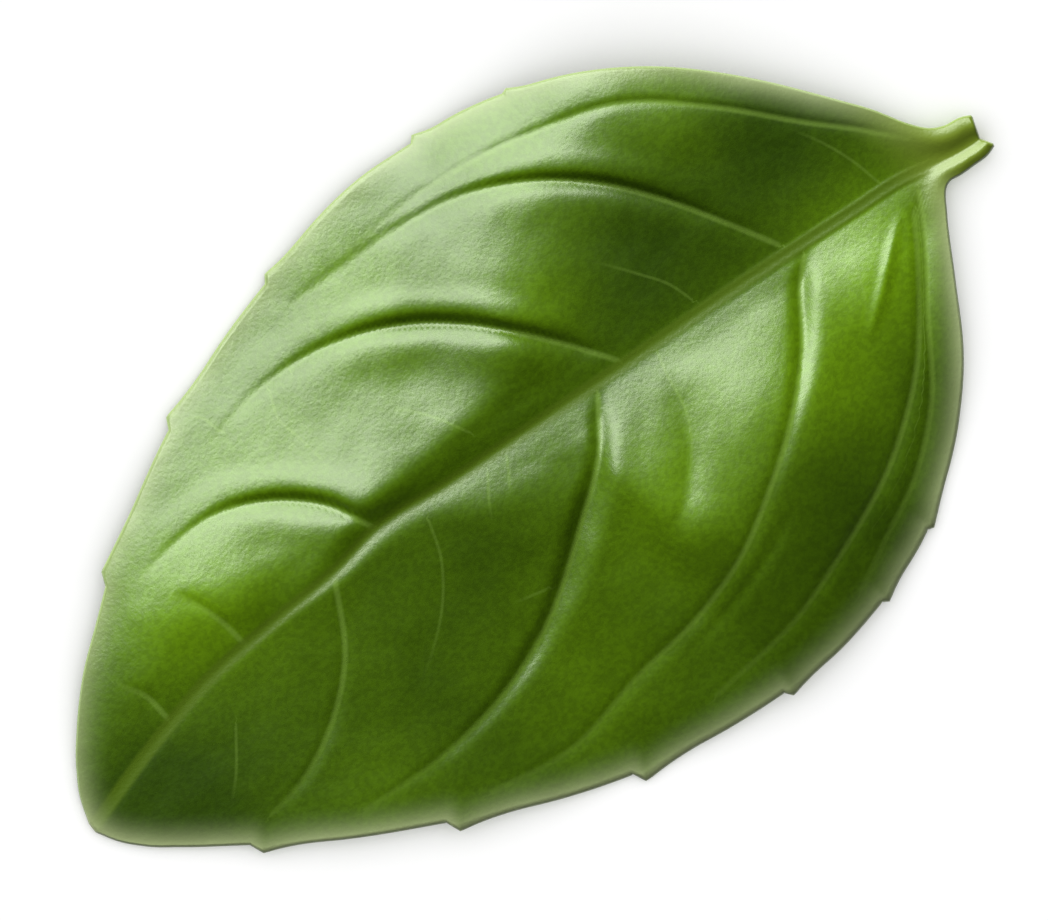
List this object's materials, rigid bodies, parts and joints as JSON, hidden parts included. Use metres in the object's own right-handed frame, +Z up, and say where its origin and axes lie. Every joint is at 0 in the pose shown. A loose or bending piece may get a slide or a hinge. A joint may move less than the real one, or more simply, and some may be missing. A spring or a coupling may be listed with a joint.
{
  "type": "basil leaf",
  "caption": "Single fresh basil leaf, upper side up: domed, quilted blade with sunk veins, fine teeth and a short stub of its stalk.",
  "frame": {"origin": "middle of the leaf's outline, on the surface that the leaf lies on", "axes": "+X along the midrib from the stalk to the tip, +Y towards the right-hand half, +Z up out of the leaf's upper side"},
  "size_m": [0.0688, 0.0411, 0.0045],
  "materials": {
    "leaf": "satin"
  },
  "bodies": {
    "root": {"basil_leaf": "leaf"}
  },
  "joints": []
}
